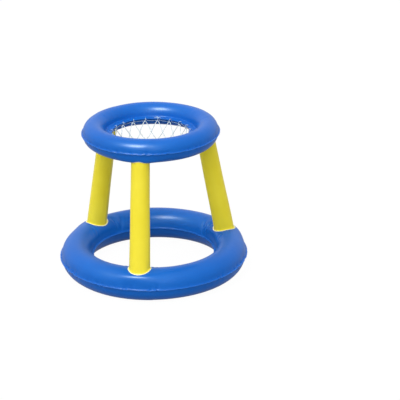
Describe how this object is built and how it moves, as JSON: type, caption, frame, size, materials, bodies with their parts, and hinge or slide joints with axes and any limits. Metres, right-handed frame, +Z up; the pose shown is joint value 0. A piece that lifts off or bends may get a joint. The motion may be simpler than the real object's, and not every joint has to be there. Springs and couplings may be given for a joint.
{
  "type": "inflatable floating basketball hoop",
  "caption": "Inflatable pool hoop: a wide floating ring carries a smaller net hoop on leaning tube legs, with push-in air valves.",
  "frame": {"origin": "on the surface that the floating ring rests on, at the common centre of both rings", "axes": "+Z up through the hoop's mouth, -Y towards the front leg, +X towards the right of the front leg"},
  "size_m": [0.6076, 0.6076, 0.5025],
  "materials": {
    "blue_vinyl": "glossy, stretched smooth by air, puckered at the welds",
    "yellow_vinyl": "glossy, with paler weld margins",
    "net_cord": "twisted white cord",
    "clear_vinyl": "soft moulded, bluish clear"
  },
  "bodies": {
    "float": {"base_ring_lower_sheet": "blue_vinyl", "base_ring_upper_sheet": "blue_vinyl", "hoop_ring_lower_sheet": "blue_vinyl", "hoop_ring_upper_sheet": "blue_vinyl", "leg_front": "yellow_vinyl", "leg_right": "yellow_vinyl", "leg_left": "yellow_vinyl", "net": "net_cord", "net_lacing_cord": "net_cord", "base_valve_flange": "clear_vinyl", "hoop_valve_flange": "clear_vinyl"},
    "base_valve_tube": {"base_valve_stem": "clear_vinyl"},
    "base_valve_plug": {"base_valve_stopper": "clear_vinyl"},
    "base_valve_flap": {"base_valve_check_flap": "clear_vinyl"},
    "hoop_valve_tube": {"hoop_valve_stem": "clear_vinyl"},
    "hoop_valve_plug": {"hoop_valve_stopper": "clear_vinyl"},
    "hoop_valve_flap": {"hoop_valve_check_flap": "clear_vinyl"}
  },
  "joints": [
    {"name": "hoop_valve_push_in", "type": "slide", "parent": "float", "child": "hoop_valve_tube", "axis": [0.4641, -0.8576, -0.2218], "range_m": [0, 0.0055]},
    {"name": "hoop_valve_stopper_swing", "type": "hinge", "parent": "hoop_valve_tube", "child": "hoop_valve_plug", "pos_m": [0.0655, -0.12103, 0.48286], "axis": [0.8795, 0.4759, 0], "range_deg": [0, 150]},
    {"name": "hoop_valve_flap_swing", "type": "hinge", "parent": "hoop_valve_tube", "child": "hoop_valve_flap", "pos_m": [0.07124, -0.13165, 0.47776], "axis": [-0.8795, -0.4759, 0], "range_deg": [0, 45], "stiffness_Nm_per_rad": 0.0002, "springref_deg": -8.59},
    {"name": "base_valve_push_in", "type": "slide", "parent": "float", "child": "base_valve_tube", "axis": [0.6268, -0.747, -0.2217], "range_m": [0, 0.0055]},
    {"name": "base_valve_stopper_swing", "type": "hinge", "parent": "base_valve_tube", "child": "base_valve_plug", "pos_m": [0.12505, -0.14903, 0.0692], "axis": [0.766, 0.6428, 0], "range_deg": [0, 150]},
    {"name": "base_valve_flap_swing", "type": "hinge", "parent": "base_valve_tube", "child": "base_valve_flap", "pos_m": [0.13281, -0.15827, 0.06409], "axis": [-0.766, -0.6428, 0], "range_deg": [0, 45], "stiffness_Nm_per_rad": 0.0002, "springref_deg": -8.59}
  ]
}
